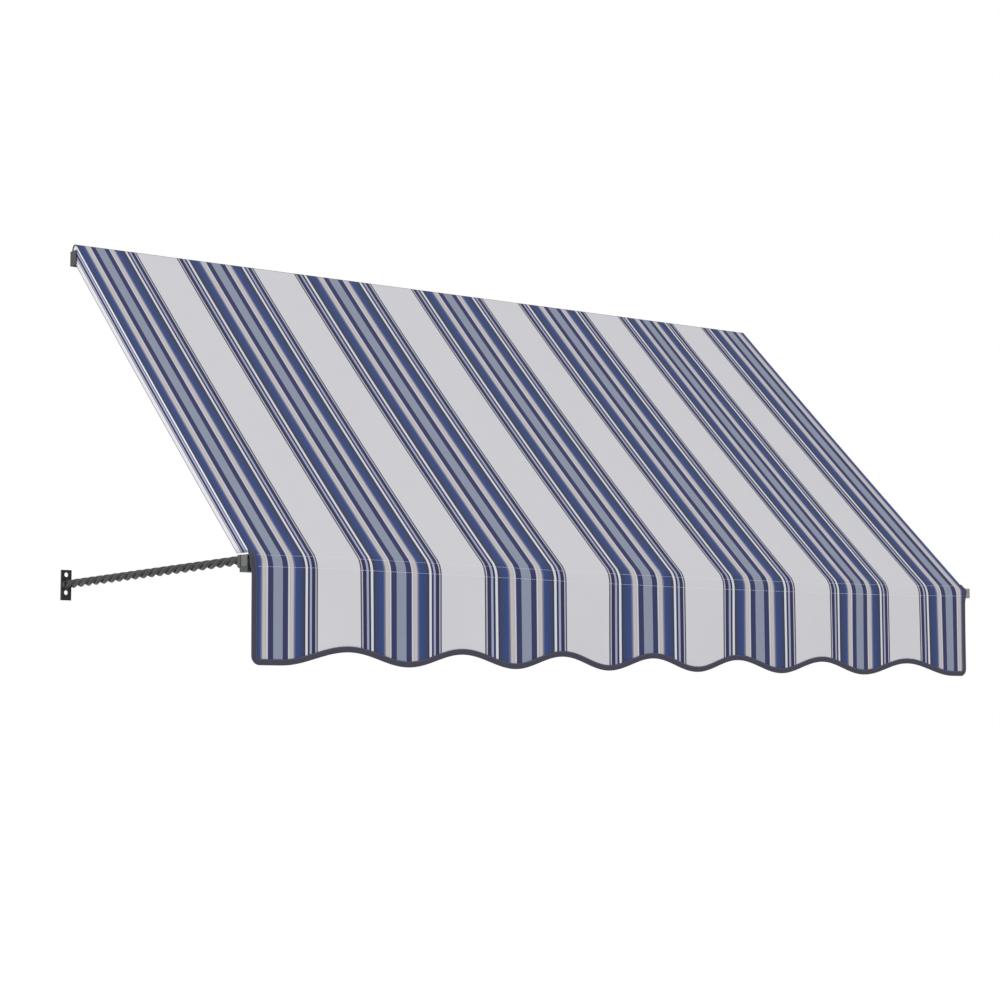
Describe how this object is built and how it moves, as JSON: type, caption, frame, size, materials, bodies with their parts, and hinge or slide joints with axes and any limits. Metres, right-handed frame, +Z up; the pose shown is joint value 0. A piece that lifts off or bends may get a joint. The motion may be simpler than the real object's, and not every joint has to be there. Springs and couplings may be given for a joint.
{
  "type": "window awning",
  "caption": "Fixed window awning: one striped canvas sewn round a head rod and a square front bar, with a scalloped bound valance, twisted steel arms and wall brackets.",
  "frame": {"origin": "middle of the back face of the middle head bracket, on the wall", "axes": "+Y into the wall, so the awning stands out to -Y; +Z up; +X along the wall, to the right for someone who faces the wall"},
  "size_m": [1.687, 0.6436, 0.7669],
  "materials": {
    "striped_canvas": "matt woven canvas, navy, blue and beige stripes on off-white",
    "navy_braid": "matt woven braid",
    "sleeve_cloth": "matt woven cloth, the plain side of the canvas",
    "black_coated_steel": "black powder coat, satin",
    "grey_plastic": "moulded, fine grain",
    "aluminium_tube": "extruded, mill finish",
    "pale_plastic": "moulded",
    "zinc_plated_steel": "bright zinc plate"
  },
  "bodies": {
    "root": {"canopy": "striped_canvas", "valance_binding": "navy_braid", "bar_sleeve": "sleeve_cloth", "head_rod": "aluminium_tube", "head_rod_plug_left": "pale_plastic", "head_rod_plug_right": "pale_plastic", "head_bracket_left": "black_coated_steel", "head_bracket_centre": "black_coated_steel", "head_bracket_right": "black_coated_steel", "head_screw_left": "zinc_plated_steel", "head_screw_centre": "zinc_plated_steel", "head_screw_right": "zinc_plated_steel", "front_bar": "aluminium_tube", "front_bar_plug_left": "grey_plastic", "front_bar_plug_right": "grey_plastic", "wall_flange_left": "black_coated_steel", "wall_flange_right": "black_coated_steel", "twisted_arm_left": "black_coated_steel", "twisted_arm_right": "black_coated_steel", "arm_saddle_left": "black_coated_steel", "arm_saddle_right": "black_coated_steel", "set_screw_left": "zinc_plated_steel", "set_screw_right": "zinc_plated_steel"}
  },
  "joints": []
}
